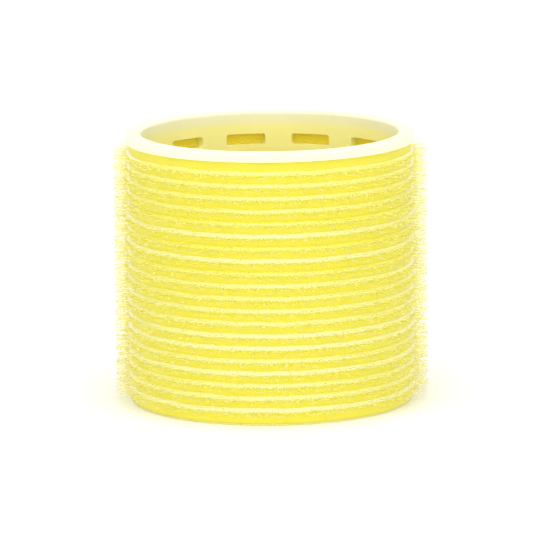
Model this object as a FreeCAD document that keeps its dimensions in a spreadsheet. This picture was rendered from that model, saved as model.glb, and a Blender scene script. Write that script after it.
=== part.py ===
import FreeCAD, Part

import math
import os

import Sketcher

# A self-grip hair roller, standing on its end. Millimetres and degrees, +Z along the tube, origin at the centre
# of the base. A moulded core holds a wrapped hook tape between a flange and a lip. Each row of hooks is a yarn of
# its own, woven into the tape as a ridge. The tape's two ends meet over a rib at the back, on a line of glue.
# Each body is drawn with that seam on its own -Y side and is then turned, so that the seam comes to the back.

SIZES = [
    ("length", 60.0, "whole roller, base to top"),
    ("bore_radius", 28.4, "inside wall of the core"),
    ("wall_radius", 30.4, "outside of the core under the tape"),
    ("flange_radius", 31.9, "smooth bare flange at the top"),
    ("lip_radius", 30.9, "small lip at the bottom, inside the tape's outline"),
    ("top_flange", 2.0, "flange height"),
    ("bottom_lip", 0.4, "lip height"),
    ("rim_round", 0.6, "rounding of the flange's edges"),
    ("base_round", 0.25, "rounding of the base's edges"),
    ("window_columns", 12, "columns of windows round the core"),
    ("window_rows", 13, "windows in a column"),
    ("window_width", 8.9, "window, round the core"),
    ("window_height", 2.4, "window, along the core"),
    ("window_corner", 0.5, "radius of a window's corners"),
    ("window_pitch", 4.1, "from one window to the next, along the core"),
    ("window_start", 5.1, "from the top down to the first window"),
    ("glue_flat", 30.25, "from the axis to the flat under the glue line"),
    ("glue_flat_width", 7.0, "width cut to make the flat, wider than the flat"),
    ("glue_rise", 0.4, "glue pressed up into the seam"),
    ("glue_rise_width", 0.3, "width of that glue"),
    ("tape_radius", 31.2, "outside of the tape's woven ground"),
    ("seam_gap", 1.0, "angle between the tape's two ends"),
    ("seam_turn", 176.0, "turn that takes the seam from -Y to the back"),
    ("row_count", 20, "rows of hooks"),
    ("row_start", 3.33, "from the base to the lowest row"),
    ("row_pitch", 2.74, "from row to row"),
    ("ridge_width", 1.7, "foot of a row's ridge on the tape"),
    ("crest_radius", 32.0, "crest of a row's ridge"),
    ("pile_width", 0.8, "spread of a row's hooks at the crest"),
    ("tip_radius", 35.0, "tips of the hooks"),
    ("tip_spread", 1.6, "spread of a row's hooks at their tips"),
]
TAPE_TOP = "sizes.length - sizes.top_flange"
TAPE_WIDTH = "sizes.length - sizes.top_flange - sizes.bottom_lip"

doc = FreeCAD.newDocument("HairRoller")
sheet = doc.addObject("Spreadsheet::Sheet", "sizes")
for line, (alias, number, note) in enumerate(SIZES, start=1):
    sheet.set(f"A{line}", alias)
    sheet.set(f"B{line}", str(number))
    sheet.set(f"C{line}", note)
    sheet.setAlias(f"B{line}", alias)
doc.recompute()


def value(formula):
    """The number that a formula over the sheet's cells gives."""
    return float(sheet.evalExpression(formula))


def bind(feature, **formulas):
    """Ties properties of a feature to formulas over the sheet."""
    for name, formula in formulas.items():
        feature.setExpression(name, formula)


def new_body(name):
    """An empty body with its own label, turned so that its -Y side faces the back."""
    body = doc.addObject("PartDesign::Body", name)
    body.Label = name
    body.Placement.Rotation = FreeCAD.Rotation(FreeCAD.Vector(0, 0, 1), value("sizes.seam_turn"))
    body.setExpression("Placement.Rotation.Angle", "sizes.seam_turn")
    return body


def new_sketch(body, name, plane):
    """An empty sketch on one of the body's own origin planes."""
    sketch = body.newObject("Sketcher::SketchObject", name)
    support = next(o for o in body.Origin.OriginFeatures if o.Role == plane)
    sketch.AttachmentSupport = [(support, "")]
    sketch.MapMode = "FlatFace"
    return sketch


def dimension(sketch, kind, point, formula):
    """Holds a point, (geometry, end), at a signed distance from the sketch's origin along X or Y."""
    number = value(formula)
    origin = (-1, 1)
    if number == 0:
        axis = -2 if kind == "DistanceX" else -1
        sketch.addConstraint(Sketcher.Constraint("PointOnObject", *point, axis))
        return
    ends = origin + point if number > 0 else point + origin
    index = sketch.addConstraint(Sketcher.Constraint(kind, *ends, abs(number)))
    sketch.setExpression(f"Constraints[{index}]", formula if number > 0 else f"-({formula})")


def outline(sketch, corners):
    """A closed outline of straight edges. Each corner is a pair of formulas."""
    points = [FreeCAD.Vector(value(x), value(y), 0) for x, y in corners]
    edges = [Part.LineSegment(a, b) for a, b in zip(points, points[1:] + points[:1])]
    sketch.addGeometry(edges, False)
    for edge, (x, y) in enumerate(corners):
        sketch.addConstraint(Sketcher.Constraint("Coincident", edge, 2, (edge + 1) % len(corners), 1))
        dimension(sketch, "DistanceX", (edge, 1), x)
        dimension(sketch, "DistanceY", (edge, 1), y)


def arc(centre, radius, start, end):
    """Part of a circle in a sketch, from one angle to another in degrees."""
    circle = Part.Circle(centre, FreeCAD.Vector(0, 0, 1), radius)
    return Part.ArcOfCircle(circle, math.radians(start), math.radians(end))


def revolve(body, sketch, name):
    """Turns a profile about the tube's axis."""
    turned = body.newObject("PartDesign::Revolution", name)
    turned.Profile = sketch
    turned.ReferenceAxis = (sketch, ["V_Axis"])
    return turned


def round_edges(body, base, name, heights, radius):
    """Rounds the circular edges of a feature that lie at the given heights."""
    doc.recompute()
    levels = [value(formula) for formula in heights]
    names = []
    for number, edge in enumerate(base.Shape.Edges, start=1):
        box = edge.BoundBox
        level = any(abs(box.ZMin - z) < 1e-6 and abs(box.ZMax - z) < 1e-6 for z in levels)
        if level and isinstance(edge.Curve, Part.Circle):
            names.append(f"Edge{number}")
    fillet = body.newObject("PartDesign::Fillet", name)
    fillet.Base = (base, names)
    bind(fillet, Radius=radius)
    return fillet


def must_cut(before, after):
    """A pocket that points away from the solid cuts nothing and says nothing."""
    doc.recompute()
    if not after.Shape.Volume < before.Shape.Volume - 1e-3:
        raise RuntimeError(f"{after.Name} cut nothing")


# --- the core: one moulding -------------------------------------------------------------------------------------


def window_outline(sketch):
    """One window: a rectangle with rounded corners, centred on the sketch's vertical axis."""
    half_width = value("sizes.window_width / 2")
    half_height = value("sizes.window_height / 2")
    corner = value("sizes.window_corner")
    middle = value("sizes.length - sizes.window_start - sizes.window_height / 2")
    inner_x = half_width - corner
    inner_y = half_height - corner

    def at(x, y):
        return FreeCAD.Vector(x, middle + y, 0)

    sketch.addGeometry(
        [
            Part.LineSegment(at(-inner_x, -half_height), at(inner_x, -half_height)),
            arc(at(inner_x, -inner_y), corner, 270, 360),
            Part.LineSegment(at(half_width, -inner_y), at(half_width, inner_y)),
            arc(at(inner_x, inner_y), corner, 0, 90),
            Part.LineSegment(at(inner_x, half_height), at(-inner_x, half_height)),
            arc(at(-inner_x, inner_y), corner, 90, 180),
            Part.LineSegment(at(-half_width, inner_y), at(-half_width, -inner_y)),
            arc(at(-inner_x, -inner_y), corner, 180, 270),
        ],
        False,
    )
    bottom, right, top, left = 0, 2, 4, 6
    for piece in range(8):
        sketch.addConstraint(Sketcher.Constraint("Tangent", piece, 2, (piece + 1) % 8, 1))
    for edge in (bottom, top):
        sketch.addConstraint(Sketcher.Constraint("Horizontal", edge))
    for edge in (right, left):
        sketch.addConstraint(Sketcher.Constraint("Vertical", edge))
    for corner_arc in (3, 5, 7):
        sketch.addConstraint(Sketcher.Constraint("Equal", 1, corner_arc))
    radius = sketch.addConstraint(Sketcher.Constraint("Radius", 1, corner))
    sketch.setExpression(f"Constraints[{radius}]", "sizes.window_corner")
    dimension(sketch, "DistanceX", (right, 1), "sizes.window_width / 2")
    dimension(sketch, "DistanceX", (left, 1), "-sizes.window_width / 2")
    dimension(sketch, "DistanceY", (top, 1), "sizes.length - sizes.window_start")
    dimension(sketch, "DistanceY", (bottom, 1), "sizes.length - sizes.window_start - sizes.window_height")


def make_core():
    body = new_body("core")

    profile = new_sketch(body, "core_profile", "YZ_Plane")
    outline(
        profile,
        [
            ("sizes.bore_radius", "0"),
            ("sizes.lip_radius", "0"),
            ("sizes.lip_radius", "sizes.bottom_lip"),
            ("sizes.wall_radius", "sizes.bottom_lip"),
            ("sizes.wall_radius", TAPE_TOP),
            ("sizes.flange_radius", TAPE_TOP),
            ("sizes.flange_radius", "sizes.length"),
            ("sizes.bore_radius", "sizes.length"),
        ],
    )
    tube = revolve(body, profile, "core_tube")
    rim = round_edges(body, tube, "core_rim", ["sizes.length"], "sizes.rim_round")
    base = round_edges(body, rim, "core_base", ["0"], "sizes.base_round")
    doc.recompute()

    # The flat under the glue line lies on the rib at the seam.
    flat_sketch = new_sketch(body, "glue_flat_outline", "XY_Plane")
    flat_sketch.setExpression("AttachmentOffset.Base.z", "sizes.bottom_lip")
    outline(
        flat_sketch,
        [
            ("-sizes.glue_flat_width / 2", "-sizes.lip_radius"),
            ("sizes.glue_flat_width / 2", "-sizes.lip_radius"),
            ("sizes.glue_flat_width / 2", "-sizes.glue_flat"),
            ("-sizes.glue_flat_width / 2", "-sizes.glue_flat"),
        ],
    )
    flat = body.newObject("PartDesign::Pocket", "glue_flat_cut")
    flat.Profile = flat_sketch
    flat.Reversed = True
    bind(flat, Length=TAPE_WIDTH)
    must_cut(base, flat)

    # Ribs stand on the seam and on every column step from it, so the windows lie half a step away.
    window_sketch = new_sketch(body, "window_outline", "XZ_Plane")
    window_sketch.AttachmentOffset.Rotation = FreeCAD.Rotation(FreeCAD.Vector(0, 1, 0), 15)
    window_sketch.setExpression("AttachmentOffset.Rotation.Angle", "180 / sizes.window_columns")
    window_outline(window_sketch)
    window = body.newObject("PartDesign::Pocket", "window")
    window.Profile = window_sketch
    bind(window, Length="sizes.flange_radius")
    must_cut(flat, window)

    grid = body.newObject("PartDesign::MultiTransform", "window_grid")
    column = body.newObject("PartDesign::LinearPattern", "window_column")
    column.Direction = (window_sketch, ["V_Axis"])
    column.Reversed = True
    bind(
        column,
        Length="sizes.window_pitch * (sizes.window_rows - 1)",
        Occurrences="sizes.window_rows",
    )
    ring = body.newObject("PartDesign::PolarPattern", "window_ring")
    ring.Axis = (window_sketch, ["V_Axis"])
    ring.Angle = 360
    bind(ring, Occurrences="sizes.window_columns")
    grid.Originals = [window]
    grid.Transformations = [column, ring]
    body.Tip = grid
    must_cut(window, grid)
    return body


# --- the tape and what holds it ---------------------------------------------------------------------------------


def make_tape():
    """The woven ground of the hook tape, once round the core between the flange and the lip."""
    body = new_body("hook_tape")
    profile = new_sketch(body, "tape_profile", "YZ_Plane")
    outline(
        profile,
        [
            ("sizes.wall_radius", "sizes.bottom_lip"),
            ("sizes.tape_radius", "sizes.bottom_lip"),
            ("sizes.tape_radius", TAPE_TOP),
            ("sizes.wall_radius", TAPE_TOP),
        ],
    )
    wrap = revolve(body, profile, "tape_wrap")
    wrap.Midplane = True
    bind(wrap, Angle="360 - sizes.seam_gap")
    return body


def make_glue():
    """The glue line: it fills the flat on the rib and stands up a little between the tape's two ends."""
    body = new_body("seam_glue")
    sketch = new_sketch(body, "glue_section", "XY_Plane")
    sketch.setExpression("AttachmentOffset.Base.z", "sizes.bottom_lip")

    radius = value("sizes.wall_radius")
    flat = value("sizes.glue_flat")
    rise = radius + value("sizes.glue_rise")
    half_rise = value("sizes.glue_rise_width / 2")
    foot = math.sqrt(radius**2 - half_rise**2)
    half_flat = math.sqrt(radius**2 - flat**2)
    flat_angle = math.degrees(math.asin(flat / radius))
    foot_angle = math.degrees(math.asin(foot / radius))
    centre = FreeCAD.Vector(0, 0, 0)
    sketch.addGeometry(
        [
            Part.LineSegment(FreeCAD.Vector(half_flat, -flat, 0), FreeCAD.Vector(-half_flat, -flat, 0)),
            arc(centre, radius, 180 + flat_angle, 180 + foot_angle),
            Part.LineSegment(FreeCAD.Vector(-half_rise, -foot, 0), FreeCAD.Vector(-half_rise, -rise, 0)),
            Part.LineSegment(FreeCAD.Vector(-half_rise, -rise, 0), FreeCAD.Vector(half_rise, -rise, 0)),
            Part.LineSegment(FreeCAD.Vector(half_rise, -rise, 0), FreeCAD.Vector(half_rise, -foot, 0)),
            arc(centre, radius, 360 - foot_angle, 360 - flat_angle),
        ],
        False,
    )
    chord, left_arc, left_side, crest, right_side, right_arc = range(6)
    for piece in range(6):
        sketch.addConstraint(Sketcher.Constraint("Coincident", piece, 2, (piece + 1) % 6, 1))
    for side in (left_side, right_side):
        sketch.addConstraint(Sketcher.Constraint("Vertical", side))
    sketch.addConstraint(Sketcher.Constraint("Horizontal", chord))
    sketch.addConstraint(Sketcher.Constraint("Horizontal", crest))
    for curve in (left_arc, right_arc):
        sketch.addConstraint(Sketcher.Constraint("Coincident", curve, 3, -1, 1))
    sketch.addConstraint(Sketcher.Constraint("Equal", left_arc, right_arc))
    wall = sketch.addConstraint(Sketcher.Constraint("Radius", left_arc, radius))
    sketch.setExpression(f"Constraints[{wall}]", "sizes.wall_radius")
    dimension(sketch, "DistanceY", (chord, 1), "-sizes.glue_flat")
    dimension(sketch, "DistanceY", (crest, 1), "-(sizes.wall_radius + sizes.glue_rise)")
    dimension(sketch, "DistanceX", (crest, 1), "-sizes.glue_rise_width / 2")
    dimension(sketch, "DistanceX", (crest, 2), "sizes.glue_rise_width / 2")

    bead = body.newObject("PartDesign::Pad", "glue_bead")
    bead.Profile = sketch
    bind(bead, Length=TAPE_WIDTH)
    return body


def make_hook_row(number):
    """One yarn of hooks: a ridge on the tape, and the room that its hooks fill above the crest."""
    body = new_body(f"hook_row_{number:02d}")
    profile = new_sketch(body, f"row_profile_{number:02d}", "YZ_Plane")
    outline(
        profile,
        [
            ("sizes.tape_radius", "-sizes.ridge_width / 2"),
            ("sizes.crest_radius", "-sizes.pile_width / 2"),
            ("sizes.tip_radius", "-sizes.tip_spread / 2"),
            ("sizes.tip_radius", "sizes.tip_spread / 2"),
            ("sizes.crest_radius", "sizes.pile_width / 2"),
            ("sizes.tape_radius", "sizes.ridge_width / 2"),
        ],
    )
    wrap = revolve(body, profile, f"row_wrap_{number:02d}")
    wrap.Midplane = True
    bind(wrap, Angle="360 - sizes.seam_gap")
    body.setExpression("Placement.Base.z", f"sizes.row_start + sizes.row_pitch * {number - 1}")
    return body


pieces = [make_core(), make_tape(), make_glue()]
for row in range(1, int(value("sizes.row_count")) + 1):
    pieces.append(make_hook_row(row))
doc.recompute()

for item in doc.Objects:
    if "Invalid" in item.State or "Error" in item.State:
        raise RuntimeError(f"{item.Name}: {item.State}")
for piece in pieces:
    if piece.Shape.isNull() or not piece.Shape.isValid() or len(piece.Shape.Solids) != 1:
        raise RuntimeError(f"{piece.Label} isn't one valid solid")

os.makedirs("parts", exist_ok=True)
for piece in pieces:
    piece.Shape.exportStep(f"parts/{piece.Label}.step")
    box = piece.Shape.BoundBox
    print(
        f"{piece.Label}: {piece.Shape.Volume / 1000:.3f} cm3,"
        f" {box.XLength:.2f} x {box.YLength:.2f} mm, z {box.ZMin:.2f} to {box.ZMax:.2f}"
    )
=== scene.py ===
import math

import bpy
import numpy as np
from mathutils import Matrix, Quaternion, Vector


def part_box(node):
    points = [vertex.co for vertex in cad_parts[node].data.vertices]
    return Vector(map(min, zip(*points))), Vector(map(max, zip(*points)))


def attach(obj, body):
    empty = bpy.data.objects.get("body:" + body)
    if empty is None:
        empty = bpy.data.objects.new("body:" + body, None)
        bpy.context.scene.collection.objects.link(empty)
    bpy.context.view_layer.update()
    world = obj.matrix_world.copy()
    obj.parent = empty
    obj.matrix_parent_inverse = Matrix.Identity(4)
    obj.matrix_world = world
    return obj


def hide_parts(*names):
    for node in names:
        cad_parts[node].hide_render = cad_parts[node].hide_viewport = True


# A self-grip hair roller on its end: a moulded core, a woven tape, 20 yarns of hooks and a line of glue.
# Metres, +Z up, the front is -Y.

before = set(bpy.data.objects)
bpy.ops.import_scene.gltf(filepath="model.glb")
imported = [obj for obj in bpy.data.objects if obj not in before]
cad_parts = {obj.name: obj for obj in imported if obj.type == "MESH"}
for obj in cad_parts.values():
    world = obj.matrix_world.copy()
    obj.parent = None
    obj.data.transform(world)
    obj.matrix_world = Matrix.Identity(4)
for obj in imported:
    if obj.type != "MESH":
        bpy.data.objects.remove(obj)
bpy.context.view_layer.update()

MM = 0.001

# Sizes read from the frame.
TAPE_LOW, TAPE_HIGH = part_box("hook_tape")
GLUE_LOW, GLUE_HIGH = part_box("seam_glue")
ROWS = sorted(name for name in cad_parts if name.startswith("hook_row_"))
ROW_LOW, ROW_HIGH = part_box(ROWS[0])
ROW_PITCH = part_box(ROWS[1])[0].z - ROW_LOW.z
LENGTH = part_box("core")[1].z
TAPE_RADIUS = TAPE_HIGH.x
TAPE_BOTTOM = TAPE_LOW.z
TAPE_TOP = TAPE_HIGH.z
TIP_RADIUS = ROW_HIGH.x
SEAM = math.atan2(GLUE_LOW.y + GLUE_HIGH.y, GLUE_LOW.x + GLUE_HIGH.x)

# The tape: a cloth wrapped once round the core, whose two ends leave a narrow gap at the seam.
TAPE_THICKNESS = 0.78 * MM
SEAM_GAP = math.radians(1.0)
TAPE_START = SEAM + SEAM_GAP / 2
TAPE_TURN = 2 * math.pi - SEAM_GAP
CLOTH_DIP = 0.08 * MM
CLOTH_RIPPLE = 0.03 * MM
YARN_SWELL, YARN_SPREAD = 0.12 * MM, 0.9 * MM
EDGE_SWELL, EDGE_SPREAD, EDGE_INSET = 0.07 * MM, 0.25 * MM, 0.35 * MM
WEAVE_PITCH = 0.55 * MM

# Each yarn's ridge, where it is bound into the tape.
RIDGE_WIDTH = 1.3 * MM
RIDGE_RISE = 0.85 * MM
RIDGE_SINK = 0.1 * MM
RIDGE_WANDER = 0.05 * MM
STITCH_LENGTH = 0.9 * MM
BINDING_PITCH = 1.4 * MM
CREST_RADIUS = TAPE_RADIUS + 0.8 * MM

# Each yarn's hooks.
HOOKS_PER_ROW = 440
STRAND_RADIUS = 0.05 * MM
CUT_END = 0.55
FOOT_SINK = 0.25 * MM
CURL_REACH = math.radians(195)

# Light crosses many clear strands before it leaves the hooks.
BOUNCES = 32


# --- camera ---------------------------------------------------------------------------

CAMERA_ELEVATION = math.radians(10.4)
CAMERA_DISTANCE = 1.196
CAMERA_LENS = 359.5
CAMERA_ROLL = math.radians(-0.6)
CAMERA_TARGET = Vector((-0.00024, 0.0, 0.0287))


def make_camera():
    """A long lens from the front and a little above, with a slight roll."""
    data = bpy.data.cameras.new("camera")
    data.lens = CAMERA_LENS
    data.sensor_width = 36
    data.clip_end = 20
    camera = bpy.data.objects.new("camera", data)
    away = Vector((0, -math.cos(CAMERA_ELEVATION), math.sin(CAMERA_ELEVATION)))
    camera.location = CAMERA_TARGET + away * CAMERA_DISTANCE
    look = (-away).to_track_quat("-Z", "Y")
    camera.rotation_mode = "QUATERNION"
    camera.rotation_quaternion = look @ Quaternion((0, 0, 1), CAMERA_ROLL)
    bpy.context.scene.collection.objects.link(camera)
    bpy.context.scene.camera = camera


# --- mesh helpers ---------------------------------------------------------------------


def new_piece(name, points, faces, materials, face_slots=None, smooth=None):
    """A mesh object from arrays of points and faces, smooth-shaded unless told otherwise face by face."""
    mesh = bpy.data.meshes.new(name)
    mesh.from_pydata(points.tolist(), [], faces)
    for material in materials:
        mesh.materials.append(material)
    mesh.polygons.foreach_set("use_smooth", smooth or [True] * len(mesh.polygons))
    if face_slots is not None:
        mesh.polygons.foreach_set("material_index", face_slots)
    mesh.update()
    piece = bpy.data.objects.new(name, mesh)
    bpy.context.scene.collection.objects.link(piece)
    return piece


def strip(columns, rows, start=0, closed=False):
    """Quads of a grid whose points run row by row inside each column. closed joins each column's ends."""
    across = rows if closed else rows - 1
    i, j = np.meshgrid(np.arange(columns - 1), np.arange(across), indexing="ij")
    k = (j + 1) % rows
    quads = np.stack([i * rows + j, (i + 1) * rows + j, (i + 1) * rows + k, i * rows + k], axis=-1)
    return (quads.reshape(-1, 4) + start).tolist()


def round_points(radius, angle, height):
    """Points at a radius, an angle and a height about the tube's axis."""
    return np.stack([radius * np.cos(angle), radius * np.sin(angle), height + 0 * angle], axis=-1)


def wrap_angles(count):
    """Angles once round the roller, from one end of the tape to the other."""
    return TAPE_START + np.linspace(0, 1, count) * TAPE_TURN


def middle_height(node):
    """The height of a node's middle."""
    low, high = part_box(node)
    return (low.z + high.z) / 2


# --- materials ------------------------------------------------------------------------


class Shader:
    """A Principled material and short ways to wire nodes into it."""

    def __init__(self, name, **sockets):
        self.material = bpy.data.materials.new(name)
        self.material.use_nodes = True
        self.tree = self.material.node_tree
        self.surface = self.tree.nodes["Principled BSDF"]
        for socket, number in sockets.items():
            self.surface.inputs[socket.replace("_", " ")].default_value = number

    def node(self, kind, **settings):
        made = self.tree.nodes.new(f"ShaderNode{kind}")
        for name, setting in settings.items():
            if hasattr(made, name):
                setattr(made, name, setting)
            else:
                made.inputs[name.replace("_", " ")].default_value = setting
        return made

    def link(self, source, target):
        self.tree.links.new(source, target)

    def math(self, operation, first, second=None):
        made = self.node("Math", operation=operation)
        for index, source in enumerate((first, second)):
            if source is None:
                continue
            if isinstance(source, (int, float)):
                made.inputs[index].default_value = source
            else:
                self.link(source, made.inputs[index])
        return made.outputs[0]

    def place(self):
        """The surface's own place in the object: X, Y and Z outputs, and the position itself."""
        coordinates = self.node("TexCoord")
        split = self.node("SeparateXYZ")
        self.link(coordinates.outputs["Object"], split.inputs[0])
        return split.outputs, coordinates.outputs["Object"]

    def noise(self, scale, detail=3.0):
        made = self.node("TexNoise", Scale=scale, Detail=detail)
        self.link(self.place()[1], made.inputs["Vector"])
        return made.outputs["Fac"]

    def ramp(self, factor, stops):
        made = self.node("ValToRGB")
        elements = made.color_ramp.elements
        while len(elements) < len(stops):
            elements.new(1.0)
        for element, (position, colour) in zip(elements, stops):
            element.position = position
            element.color = (*colour, 1)
        self.link(factor, made.inputs["Fac"])
        return made.outputs["Color"]

    def span(self, factor, low, high):
        """factor, from 0 to 1, spread between two numbers."""
        made = self.node("MapRange", To_Min=low, To_Max=high)
        self.link(factor, made.inputs["Value"])
        return made.outputs["Result"]

    def bump(self, height, strength, distance):
        made = self.node("Bump", Strength=strength, Distance=distance)
        self.link(height, made.inputs["Height"])
        self.link(made.outputs["Normal"], self.surface.inputs["Normal"])


def core_plastic():
    """Translucent cream polypropylene, satin, with flow marks. The wall under the tape is painted yellower:
    painted light, the yellow of the tape shining through the thin plastic and bouncing inside the tube.
    """
    shader = Shader(
        "core_plastic",
        IOR=1.49,
        Subsurface_Weight=0.3,
        Subsurface_Radius=(1.0, 0.9, 0.6),
        Subsurface_Scale=0.001,
    )
    cloud = shader.noise(90.0)
    height = shader.place()[0][2]
    fade_low, fade_high = TAPE_TOP - 2 * MM, TAPE_TOP + 1 * MM
    bare = shader.node("MapRange", interpolation_type="SMOOTHSTEP", From_Min=fade_low, From_Max=fade_high)
    shader.link(height, bare.inputs["Value"])
    # Painted light: below the tape's top the plastic is tinted yellow for the tape's light shining through
    # it and bouncing inside the tube.
    painted_tape_light_tint = shader.ramp(cloud, [(0.3, (0.985, 0.90, 0.33)), (0.7, (0.99, 0.93, 0.39))])
    cream = shader.ramp(cloud, [(0.3, (0.87, 0.855, 0.58)), (0.7, (0.90, 0.885, 0.66))])
    tint = shader.node("Mix", data_type="RGBA")
    shader.link(bare.outputs["Result"], tint.inputs["Factor"])
    shader.link(painted_tape_light_tint, tint.inputs["A"])
    shader.link(cream, tint.inputs["B"])
    shader.link(tint.outputs["Result"], shader.surface.inputs["Base Color"])
    shader.link(shader.span(cloud, 0.26, 0.40), shader.surface.inputs["Roughness"])
    shader.bump(shader.noise(900.0, 4.0), 0.15, 0.00005)
    return shader.material


def weave_height(shader, around, along):
    """A plain weave: two sets of yarns that pass over each other, as a height from 0 to 1."""
    (x, y, z), _ = shader.place()
    angle = shader.math("ARCTAN2", y, x)
    phase_around = shader.math("MULTIPLY", angle, around)
    phase_along = shader.math("MULTIPLY", z, along)
    crossing = shader.math("MULTIPLY", shader.math("SINE", phase_around), shader.math("SINE", phase_along))
    return shader.math("ADD", shader.math("MULTIPLY", crossing, 0.5), 0.5)


def tape_weave(name, dark, light):
    """Saturated yellow polyester weave with a soft sheen, between two tints."""
    shader = Shader(
        name,
        Sheen_Weight=0.25,
        Sheen_Roughness=0.5,
        Subsurface_Weight=0.2,
        Subsurface_Radius=(1.0, 0.8, 0.1),
        Subsurface_Scale=0.0004,
    )
    weave = weave_height(shader, around=220.0, along=2 * math.pi / WEAVE_PITCH)
    cloud = shader.noise(160.0)
    blend = shader.math("ADD", shader.math("MULTIPLY", weave, 0.6), shader.math("MULTIPLY", cloud, 0.4))
    shader.link(shader.ramp(blend, [(0.2, dark), (0.8, light)]), shader.surface.inputs["Base Color"])
    shader.link(shader.span(cloud, 0.62, 0.8), shader.surface.inputs["Roughness"])
    shader.bump(weave, 0.6, 0.00008)
    return shader.material


def ridge_yarn():
    """The foot of a hook yarn, bound into the tape. Each has its own tint, and the lower ones are painted
    paler: painted light, standing in for the white floor's bounce light on the lower rows.
    """
    shader = Shader(
        "ridge_yarn",
        IOR=1.5,
        Specular_IOR_Level=1.0,
        Coat_Weight=0.8,
        Coat_Roughness=0.2,
        Subsurface_Weight=0.25,
        Subsurface_Radius=(1.0, 0.85, 0.25),
        Subsurface_Scale=0.0006,
    )
    stitches = weave_height(shader, around=300.0, along=2 * math.pi / BINDING_PITCH)
    cloud = shader.noise(240.0)
    height = shader.place()[0][2]
    row = shader.node("TexNoise", noise_dimensions="1D", Scale=1.0, Detail=0.0)
    shader.link(shader.math("MULTIPLY", height, 1 / ROW_PITCH), row.inputs["W"])
    grain = shader.math("ADD", shader.math("MULTIPLY", stitches, 0.2), shader.math("MULTIPLY", cloud, 0.2))
    # Each yarn's tint differs at random; the height term makes the lower yarns paler, which is painted
    # floor-bounce light.
    row_tint_and_painted_floor_light = shader.math("SUBTRACT", row.outputs["Fac"], shader.math("MULTIPLY", height, 0.46 / LENGTH))
    blend = shader.math("ADD", grain, shader.math("MULTIPLY", row_tint_and_painted_floor_light, 0.8))
    tint = shader.ramp(blend, [(0.17, (0.83, 0.785, 0.07)), (0.55, (0.88, 0.855, 0.40))])
    shader.link(tint, shader.surface.inputs["Base Color"])
    shader.link(shader.span(cloud, 0.24, 0.34), shader.surface.inputs["Roughness"])
    shader.bump(stitches, 0.35, 0.00006)
    return shader.material


def hook_strand():
    """Nylon monofilament: dyed at its foot, clear along its stem, and painted white at its curled tip as a
    painted highlight.
    """
    shader = Shader("hook_strand", IOR=1.09, Coat_Weight=0.5, Coat_Roughness=0.25)
    (x, y, _), _ = shader.place()
    square = shader.math("ADD", shader.math("MULTIPLY", x, x), shader.math("MULTIPLY", y, y))
    rise = shader.node("MapRange", From_Min=CREST_RADIUS, From_Max=TIP_RADIUS)
    shader.link(shader.math("SQRT", square), rise.inputs["Value"])
    cloud = shader.noise(400.0)
    patch = shader.math("MULTIPLY", shader.math("SUBTRACT", cloud, 0.5), 0.25)
    uneven = shader.math("ADD", rise.outputs["Result"], patch)
    dyed, amber = (0.90, 0.82, 0.08), (0.95, 0.90, 0.24)
    # The white tip colour, together with the less clear tip, is a painted highlight on the curled hook
    # tips.
    clear, white = (0.975, 0.945, 0.45), (0.97, 0.95, 0.72)
    tint = shader.ramp(uneven, [(0.0, dyed), (0.2, amber), (0.55, clear), (0.95, white)])
    cloudy, glassy, tip_opacity_for_painted_highlight = (0.3,) * 3, (0.88,) * 3, (0.7,) * 3
    stops = [(0.0, cloudy), (0.3, glassy), (0.65, glassy), (0.95, tip_opacity_for_painted_highlight)]
    clearness = shader.ramp(rise.outputs["Result"], stops)
    shader.link(tint, shader.surface.inputs["Base Color"])
    shader.link(clearness, shader.surface.inputs["Transmission Weight"])
    shader.link(shader.span(cloud, 0.12, 0.22), shader.surface.inputs["Roughness"])
    return shader.material


def hot_glue():
    """Clear, slightly milky hot-melt glue."""
    shader = Shader("hot_glue", IOR=1.48, Transmission_Weight=0.3)
    cloud = shader.noise(500.0)
    tint = shader.ramp(cloud, [(0.3, (0.93, 0.86, 0.42)), (0.7, (0.97, 0.92, 0.58))])
    shader.link(tint, shader.surface.inputs["Base Color"])
    shader.link(shader.span(cloud, 0.15, 0.3), shader.surface.inputs["Roughness"])
    shader.bump(cloud, 0.4, 0.0001)
    return shader.material


# --- the tape's woven ground ----------------------------------------------------------


def tape_relief(height):
    """How far the cloth stands out at a height: it swells into each yarn and at its two woven edges."""
    relief = np.zeros_like(height)
    for row in ROWS:
        relief += YARN_SWELL * np.exp(-(((height - middle_height(row)) / YARN_SPREAD) ** 2))
    for edge, inward in ((TAPE_BOTTOM, 1), (TAPE_TOP, -1)):
        relief += EDGE_SWELL * np.exp(-(((height - edge - inward * EDGE_INSET) / EDGE_SPREAD) ** 2))
    return relief


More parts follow.
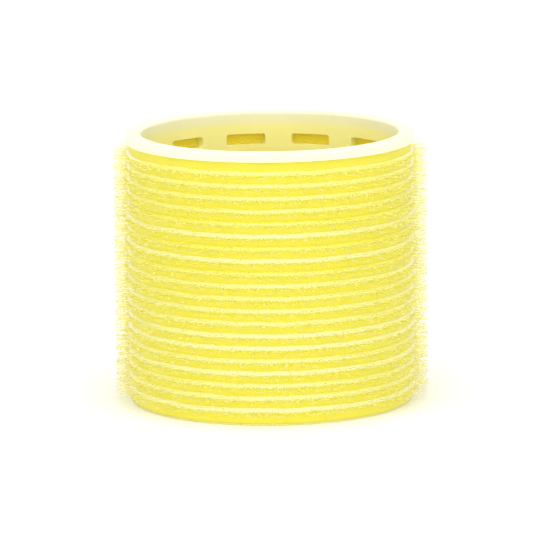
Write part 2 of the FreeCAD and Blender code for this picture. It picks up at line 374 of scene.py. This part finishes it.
def make_tape(face_material, back_material):
    """The cloth as one thin closed sheet: a fine outer face, a plain inner face and four narrow edges."""
    around, up = 301, 151
    angle = wrap_angles(around)
    height = np.linspace(TAPE_BOTTOM, TAPE_TOP, up)
    grid_angle, grid_height = np.meshgrid(angle, height, indexing="ij")
    ripples_around, ripples_up = 17, 900
    ripple = CLOTH_RIPPLE * np.sin(grid_angle * ripples_around) * np.sin(grid_height * ripples_up)
    outer_radius = TAPE_RADIUS - CLOTH_DIP + tape_relief(grid_height) + ripple
    inner_radius = np.full_like(outer_radius, TAPE_RADIUS - TAPE_THICKNESS)
    outer = round_points(outer_radius, grid_angle, grid_height).reshape(-1, 3)
    inner = round_points(inner_radius, grid_angle, grid_height).reshape(-1, 3)
    count = len(outer)
    faces = strip(around, up)
    faces += [face[::-1] for face in strip(around, up, start=count)]
    rim = [column * up for column in range(around)]
    rim += [(around - 1) * up + row for row in range(1, up)]
    rim += [column * up + up - 1 for column in range(around - 2, -1, -1)]
    rim += list(range(up - 2, 0, -1))
    for here, there in zip(rim, rim[1:] + rim[:1]):
        faces.append([there, here, here + count, there + count])
    side_faces = (around - 1) * (up - 1)
    slots = [0] * len(faces)
    slots[side_faces:2 * side_faces] = [1] * side_faces
    points = np.concatenate([outer, inner])
    tape = new_piece("tape_ground", points, faces, [face_material, back_material], slots)
    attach(tape, "root")
    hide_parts("hook_tape")


# --- the hook yarns -------------------------------------------------------------------


def ridge(middle, random):
    """The yarn's ridge: a low rounded band, swollen a little by each stitch, as points and faces."""
    around, across, kinks = 901, 9, 60
    angle = wrap_angles(around)
    turn = np.linspace(-1, 1, across)
    kink_angle = np.linspace(angle[0], angle[-1], kinks)
    wander = RIDGE_WANDER * np.interp(angle, kink_angle, random.normal(size=kinks))
    stitch = np.abs(np.sin(math.pi * angle * TAPE_RADIUS / STITCH_LENGTH))
    swell = 1 + 0.06 * (stitch - 0.6)
    above_zero, fullness = 1e-9, 0.7
    crown = (np.cos(turn * math.pi / 2) + above_zero) ** fullness
    radius = TAPE_RADIUS - RIDGE_SINK + RIDGE_RISE * np.outer(swell, crown)
    height = middle + wander[:, None] + RIDGE_WIDTH / 2 * turn[None, :]
    points = round_points(radius, np.repeat(angle[:, None], across, axis=1), height)
    ends = [list(range(across))[::-1], list(range((around - 1) * across, around * across))]
    return points.reshape(-1, 3), strip(around, across) + ends


def hooks(middle, random):
    """The yarn's hooks: strands that rise from the ridge in two lanes and curl over at the tip."""
    count, sides, stem_points, curl_points = HOOKS_PER_ROW, 5, 4, 6
    step = TAPE_TURN / count
    angle = TAPE_START + step * (np.arange(count) + 0.5 + random.uniform(-0.35, 0.35, count))
    lane = np.where(np.arange(count) % 2 == 0, 1.0, -1.0)
    foot_height = middle + lane * random.uniform(0.1, 0.3, count) * MM
    radial = np.stack([np.cos(angle), np.sin(angle), 0 * angle], axis=-1)
    tangent = np.stack([-np.sin(angle), np.cos(angle), 0 * angle], axis=-1)
    axial = np.array([0.0, 0.0, 1.0])

    lean_around = random.normal(0, 0.14, count)[:, None]
    lean_along = np.clip(lane * 0.08 + random.normal(0, 0.13, count), -0.24, 0.24)[:, None]
    stem = radial + lean_around * tangent + lean_along * axial
    stem /= np.linalg.norm(stem, axis=1, keepdims=True)
    hand = random.choice([-1.0, 1.0], count)[:, None]
    drift = np.clip(random.normal(0, 0.3, count), -0.6, 0.6)[:, None]
    side = hand * tangent + drift * axial
    side -= (side * stem).sum(axis=1, keepdims=True) * stem
    side /= np.linalg.norm(side, axis=1, keepdims=True)
    normal = np.cross(stem, side)

    curl = random.uniform(0.32, 0.46, count) * MM
    foot_radius = CREST_RADIUS - FOOT_SINK
    top = TIP_RADIUS - STRAND_RADIUS - random.uniform(0.0, 0.45, count) * MM
    rise = (top - foot_radius - curl)[:, None]
    foot = radial * foot_radius + axial * foot_height[:, None]
    path, ways = [], []
    for share in np.linspace(0, 1, stem_points, endpoint=False):
        path.append(foot + stem * rise * share)
        ways.append(stem)
    centre = foot + stem * rise + side * curl[:, None]
    for bend in np.linspace(0, CURL_REACH, curl_points):
        path.append(centre + curl[:, None] * (math.sin(bend) * stem - math.cos(bend) * side))
        ways.append(math.cos(bend) * stem + math.sin(bend) * side)

    rings = []
    spots = np.linspace(0, 2 * math.pi, sides, endpoint=False)
    for index, (spot, way) in enumerate(zip(path, ways)):
        across = np.cross(normal, way)
        thick = STRAND_RADIUS * (CUT_END if index == len(path) - 1 else 1.0)
        for turn in spots:
            rings.append(spot + thick * (math.cos(turn) * across + math.sin(turn) * normal))
    per_hook = len(path) * sides
    points = np.stack(rings, axis=1).reshape(-1, 3)
    one = strip(len(path), sides, closed=True)
    one.append([per_hook - sides + side_index for side_index in range(sides)][::-1])
    faces = []
    for hook in range(count):
        start = hook * per_hook
        faces += [[corner + start for corner in face] for face in one]
    return points, faces


def make_yarns(ridge_material, hook_material):
    """One piece for each hook yarn, in place of its plain CAD ring."""
    for number, row in enumerate(ROWS, start=1):
        middle = middle_height(row)
        random = np.random.default_rng(number)
        ridge_points, ridge_faces = ridge(middle, random)
        hook_points, hook_faces = hooks(middle, random)
        shift = len(ridge_points)
        faces = ridge_faces + [[corner + shift for corner in face] for face in hook_faces]
        slots = [0] * len(ridge_faces) + [1] * len(hook_faces)
        points = np.concatenate([ridge_points, hook_points])
        smooth = [True] * len(ridge_faces) + [False] * len(hook_faces)
        materials = [ridge_material, hook_material]
        yarn = new_piece(f"hook_yarn_{number:02d}", points, faces, materials, slots, smooth)
        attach(yarn, "root")
        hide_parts(row)


# --- stage ----------------------------------------------------------------------------


def make_floor():
    """A plain white floor, wide enough to fill every view."""
    half = 6.0
    points = np.array([[-half, -half, 0], [half, -half, 0], [half, half, 0], [-half, half, 0]])
    shader = Shader("floor_white", Roughness=0.9)
    shader.surface.inputs["Base Color"].default_value = (0.95, 0.95, 0.95, 1)
    floor = new_piece("floor", points, [[0, 1, 2, 3]], [shader.material])


def make_light(name, place, size, power):
    """A rectangular soft box that looks at the roller's middle."""
    data = bpy.data.lights.new(name, "AREA")
    data.shape = "RECTANGLE"
    data.size, data.size_y = size
    data.energy = power
    light = bpy.data.objects.new(name, data)
    light.location = place
    light.rotation_mode = "QUATERNION"
    light.rotation_quaternion = (Vector((0, 0, LENGTH / 2)) - Vector(place)).to_track_quat("-Z", "Y")
    bpy.context.scene.collection.objects.link(light)


def make_world(strength):
    """An even white surround."""
    world = bpy.data.worlds.new("world")
    world.use_nodes = True
    background = world.node_tree.nodes["Background"]
    background.inputs["Color"].default_value = (1, 1, 1, 1)
    background.inputs["Strength"].default_value = strength
    bpy.context.scene.world = world


make_camera()
make_tape(
    tape_weave("tape_face", (0.77, 0.69, 0.035), (0.85, 0.785, 0.075)),
    # The inner face's brighter, deeper orange tint is painted bounce light: it stands in for the yellow
    # light that bounces inside the tube.
    tape_weave("tape_back", (0.98, 0.81, 0.05), (0.99, 0.85, 0.08)),
)
make_yarns(ridge_yarn(), hook_strand())
for node, material in (("core", core_plastic()), ("seam_glue", hot_glue())):
    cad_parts[node].data.materials.clear()
    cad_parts[node].data.materials.append(material)

make_floor()
make_world(strength=1.04)
make_light("front", place=(0.0, -1.6, 0.18), size=(0.7, 0.3), power=2.6)
make_light("top", place=(0.0, -0.75, 1.3), size=(1.2, 1.2), power=8.0)
bpy.context.scene.view_settings.view_transform = "Standard"
bpy.context.scene.cycles.max_bounces = BOUNCES
bpy.context.scene.cycles.transmission_bounces = BOUNCES
